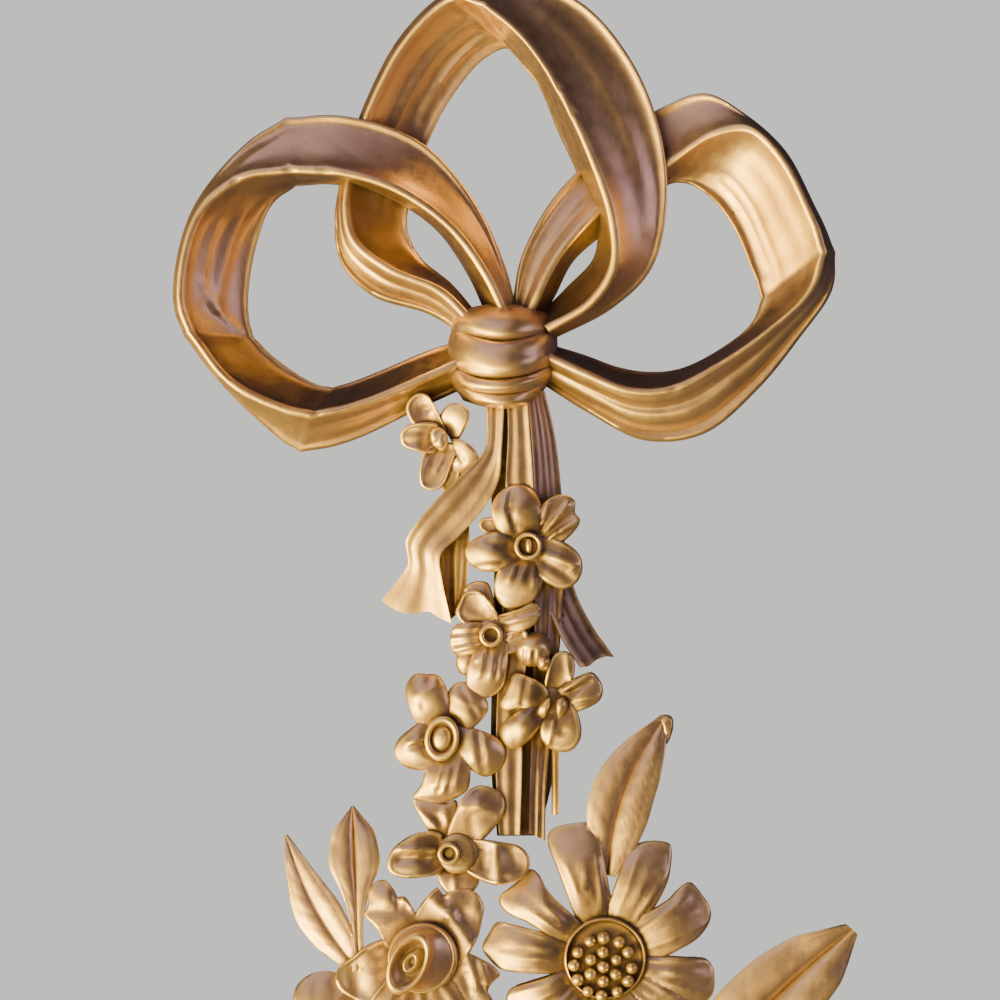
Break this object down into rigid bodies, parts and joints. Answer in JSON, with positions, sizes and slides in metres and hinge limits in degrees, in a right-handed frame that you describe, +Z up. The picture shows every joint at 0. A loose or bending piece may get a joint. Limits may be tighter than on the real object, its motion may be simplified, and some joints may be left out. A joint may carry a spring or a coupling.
{
  "type": "floral wall accent",
  "caption": "Moulded wall plaque with a ribbon bow above a tapering drop of garden flowers and leaves, flat behind, antique gold finish.",
  "frame": {"origin": "on the flat back, behind the knot of the bow, where the plaque hangs against the wall", "axes": "+Z up the wall along the plaque's length, +Y into the wall, +X to the right seen from the front"},
  "size_m": [0.2419, 0.029, 0.5039],
  "materials": {
    "antique_gold_paint": "metallic gold paint over moulded resin, dark antique wash in the hollows, rubbed rims"
  },
  "bodies": {
    "root": {"floral_wall_accent": "antique_gold_paint"}
  },
  "joints": []
}
